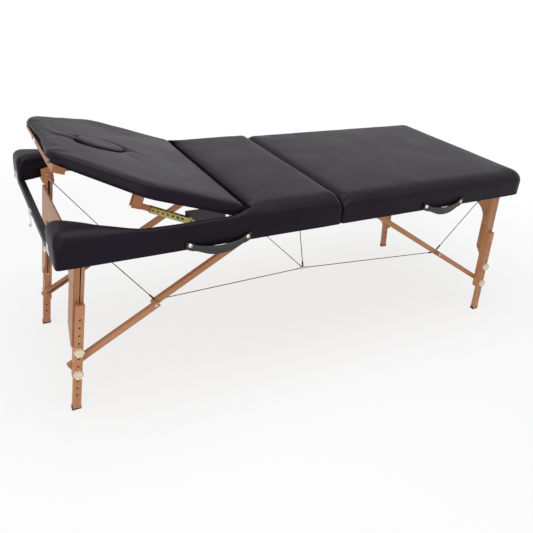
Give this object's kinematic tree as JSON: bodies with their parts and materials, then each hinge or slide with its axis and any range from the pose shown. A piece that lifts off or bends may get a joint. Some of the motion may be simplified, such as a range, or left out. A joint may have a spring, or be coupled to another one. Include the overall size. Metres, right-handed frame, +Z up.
{
  "type": "folding massage table",
  "caption": "Three-section padded treatment table that folds at the middle into a case, with a lifting backrest, padded arms and cable-braced folding wooden legs.",
  "frame": {"origin": "on the floor below the fold, at mid-width", "axes": "+X to the foot end along the table's length, +Y to the side away from the carrying handles, +Z up"},
  "size_m": [1.882, 0.779, 0.8652],
  "materials": {
    "vinyl": "satin upholstery vinyl",
    "beech": "clear satin varnish",
    "plywood": "clear satin varnish",
    "rubber": "matt",
    "cream_plastic": "moulded",
    "black_plastic": "moulded",
    "yellow_zinc": "yellow passivated zinc",
    "steel": "zinc plated",
    "chrome": "nickel plated",
    "strap": "padded strap with piped edges",
    "cable": "coated wire rope"
  },
  "bodies": {
    "head_frame": {"head_side_rails": "beech", "head_cross_rails": "beech", "head_deck": "plywood", "seat_pad": "vinyl", "arm_pads": "vinyl", "head_rail_cover": "vinyl", "strut_mount": "beech", "head_pivot_blocks": "beech", "fold_hinge_head": "steel", "case_catches": "chrome", "rail_latch_base": "chrome", "head_handle": "strap", "seat_hinge_leaves": "steel", "head_leg_cable_far": "cable", "head_leg_cable_near": "cable", "head_span_cables": "cable", "hanger_cables": "cable"},
    "foot_frame": {"foot_side_rails": "beech", "foot_cross_rails": "beech", "foot_deck": "plywood", "foot_pad": "vinyl", "foot_pivot_blocks": "beech", "fold_hinge_foot": "steel", "case_latch_bases": "chrome", "foot_handle": "strap", "foot_leg_cable_far": "cable", "foot_leg_cable_near": "cable", "foot_span_cables": "cable"},
    "backrest": {"backrest_board": "plywood", "backrest_pad": "vinyl", "backrest_battens": "beech", "headrest_sockets": "black_plastic", "backrest_catch": "chrome", "prop_forks": "steel", "backrest_hinge_leaves": "steel"},
    "face_plug": {"face_plug": "vinyl"},
    "strut_channels": {"strut_channels": "yellow_zinc"},
    "strut_bars": {"strut_bars": "beech"},
    "rail_latch_lever": {"rail_latch_lever": "chrome"},
    "case_latch_levers": {"case_latch_levers": "chrome"},
    "head_legs": {"head_upper_legs": "beech", "head_end_panel": "plywood"},
    "head_lower_legs": {"head_lower_legs": "beech", "head_rubber_feet": "rubber"},
    "head_upper_braces": {"head_upper_braces": "beech"},
    "head_lower_braces": {"head_lower_braces": "beech"},
    "foot_legs": {"foot_upper_legs": "beech", "foot_end_panel": "plywood"},
    "foot_lower_legs": {"foot_lower_legs": "beech", "foot_rubber_feet": "rubber"},
    "foot_upper_braces": {"foot_upper_braces": "beech"},
    "foot_lower_braces": {"foot_lower_braces": "beech"},
    "head_knob_far_high": {"head_knob_far_high": "cream_plastic"},
    "head_knob_far_low": {"head_knob_far_low": "cream_plastic"},
    "head_knob_near_high": {"head_knob_near_high": "cream_plastic"},
    "head_knob_near_low": {"head_knob_near_low": "cream_plastic"},
    "foot_knob_far_high": {"foot_knob_far_high": "cream_plastic"},
    "foot_knob_far_low": {"foot_knob_far_low": "cream_plastic"},
    "foot_knob_near_high": {"foot_knob_near_high": "cream_plastic"},
    "foot_knob_near_low": {"foot_knob_near_low": "cream_plastic"}
  },
  "joints": [
    {"name": "table_fold", "type": "hinge", "parent": "head_frame", "child": "foot_frame", "pos_m": [0, 0, 0.591], "axis": [0, 1, 0], "range_deg": [0, 180], "deforming": ["head_leg_cable_far", "head_leg_cable_near", "foot_leg_cable_far", "foot_leg_cable_near", "head_span_cables", "foot_span_cables", "hanger_cables", "head_handle", "foot_handle"]},
    {"name": "head_leg_fold", "type": "hinge", "parent": "head_frame", "child": "head_legs", "pos_m": [-0.83287, 0, 0.618], "axis": [0, -1, 0], "range_deg": [0, 96.16]},
    {"name": "head_upper_brace_fold", "type": "hinge", "parent": "head_frame", "child": "head_upper_braces", "pos_m": [-0.056, 0, 0.635], "axis": [0, 1, 0], "range_deg": [0, 29.76]},
    {"name": "head_lower_brace_fold", "type": "hinge", "parent": "head_legs", "child": "head_lower_braces", "pos_m": [-0.88145, 0, 0.164], "axis": [0, -1, 0], "range_deg": [0, 54.23]},
    {"name": "head_leg_height", "type": "slide", "parent": "head_legs", "child": "head_lower_legs", "axis": [-0.1064, 0, -0.9943], "range_m": [-0.0875, 0.0875]},
    {"name": "head_knob_far_high_turn", "type": "hinge", "parent": "head_legs", "child": "head_knob_far_high", "pos_m": [-0.87396, 0.266, 0.234], "axis": [0, 1, 0], "continuous": true},
    {"name": "head_knob_near_high_turn", "type": "hinge", "parent": "head_legs", "child": "head_knob_near_high", "pos_m": [-0.87396, -0.266, 0.234], "axis": [0, 1, 0], "continuous": true},
    {"name": "head_knob_far_low_turn", "type": "hinge", "parent": "head_legs", "child": "head_knob_far_low", "pos_m": [-0.88327, 0.266, 0.147], "axis": [0, 1, 0], "continuous": true},
    {"name": "head_knob_near_low_turn", "type": "hinge", "parent": "head_legs", "child": "head_knob_near_low", "pos_m": [-0.88327, -0.266, 0.147], "axis": [0, 1, 0], "continuous": true},
    {"name": "foot_leg_fold", "type": "hinge", "parent": "foot_frame", "child": "foot_legs", "pos_m": [0.83617, 0, 0.618], "axis": [0, 1, 0], "range_deg": [0, 96.5]},
    {"name": "foot_upper_brace_fold", "type": "hinge", "parent": "foot_frame", "child": "foot_upper_braces", "pos_m": [0.1, 0, 0.635], "axis": [0, -1, 0], "range_deg": [0, 31.33]},
    {"name": "foot_lower_brace_fold", "type": "hinge", "parent": "foot_legs", "child": "foot_lower_braces", "pos_m": [0.88837, 0, 0.156], "axis": [0, 1, 0], "range_deg": [0, 52.32]},
    {"name": "foot_leg_height", "type": "slide", "parent": "foot_legs", "child": "foot_lower_legs", "axis": [0.1123, 0, -0.9937], "range_m": [-0.08755, 0.08755]},
    {"name": "foot_knob_far_high_turn", "type": "hinge", "parent": "foot_legs", "child": "foot_knob_far_high", "pos_m": [0.87956, 0.3365, 0.234], "axis": [0, 1, 0], "continuous": true},
    {"name": "foot_knob_near_high_turn", "type": "hinge", "parent": "foot_legs", "child": "foot_knob_near_high", "pos_m": [0.87956, -0.3365, 0.234], "axis": [0, 1, 0], "continuous": true},
    {"name": "foot_knob_far_low_turn", "type": "hinge", "parent": "foot_legs", "child": "foot_knob_far_low", "pos_m": [0.88939, 0.3365, 0.147], "axis": [0, 1, 0], "continuous": true},
    {"name": "foot_knob_near_low_turn", "type": "hinge", "parent": "foot_legs", "child": "foot_knob_near_low", "pos_m": [0.88939, -0.3365, 0.147], "axis": [0, 1, 0], "continuous": true},
    {"name": "backrest_tilt", "type": "hinge", "parent": "head_frame", "child": "backrest", "pos_m": [-0.344, 0, 0.646], "axis": [0, 1, 0], "range_deg": [-18.2, 16]},
    {"name": "strut_swing", "type": "hinge", "parent": "head_frame", "child": "strut_channels", "pos_m": [-0.47, 0, 0.587], "axis": [0, 1, 0], "range_deg": [-26.8, 23.6]},
    {"name": "strut_slide", "type": "slide", "parent": "strut_channels", "child": "strut_bars", "axis": [-0.9138, 0, 0.4062], "range_m": [-0.0318, 0.028]},
    {"name": "plug_lift", "type": "slide", "parent": "backrest", "child": "face_plug", "axis": [0.3123, 0, 0.95], "range_m": [0, 0.12]},
    {"name": "rail_latch_swing", "type": "hinge", "parent": "head_frame", "child": "rail_latch_lever", "pos_m": [-0.936, 0, 0.604], "axis": [0, 1, 0], "range_deg": [0, 150]},
    {"name": "case_latch_swing", "type": "hinge", "parent": "foot_frame", "child": "case_latch_levers", "pos_m": [0.936, 0, 0.635], "axis": [0, -1, 0], "range_deg": [0, 150]}
  ],
  "couplings": [
    {"joint": "head_leg_fold", "follows": "table_fold", "ratio": 0.53393},
    {"joint": "head_upper_brace_fold", "follows": "table_fold", "ratio": 0.16505},
    {"joint": "head_lower_brace_fold", "follows": "table_fold", "ratio": 0.30102},
    {"joint": "foot_leg_fold", "follows": "table_fold", "ratio": 0.53582},
    {"joint": "foot_upper_brace_fold", "follows": "table_fold", "ratio": 0.17379},
    {"joint": "foot_lower_brace_fold", "follows": "table_fold", "ratio": 0.29039},
    {"joint": "strut_swing", "follows": "backrest_tilt", "ratio": 1.47},
    {"joint": "strut_slide", "follows": "backrest_tilt", "m_per_rad": 0.099695}
  ]
}
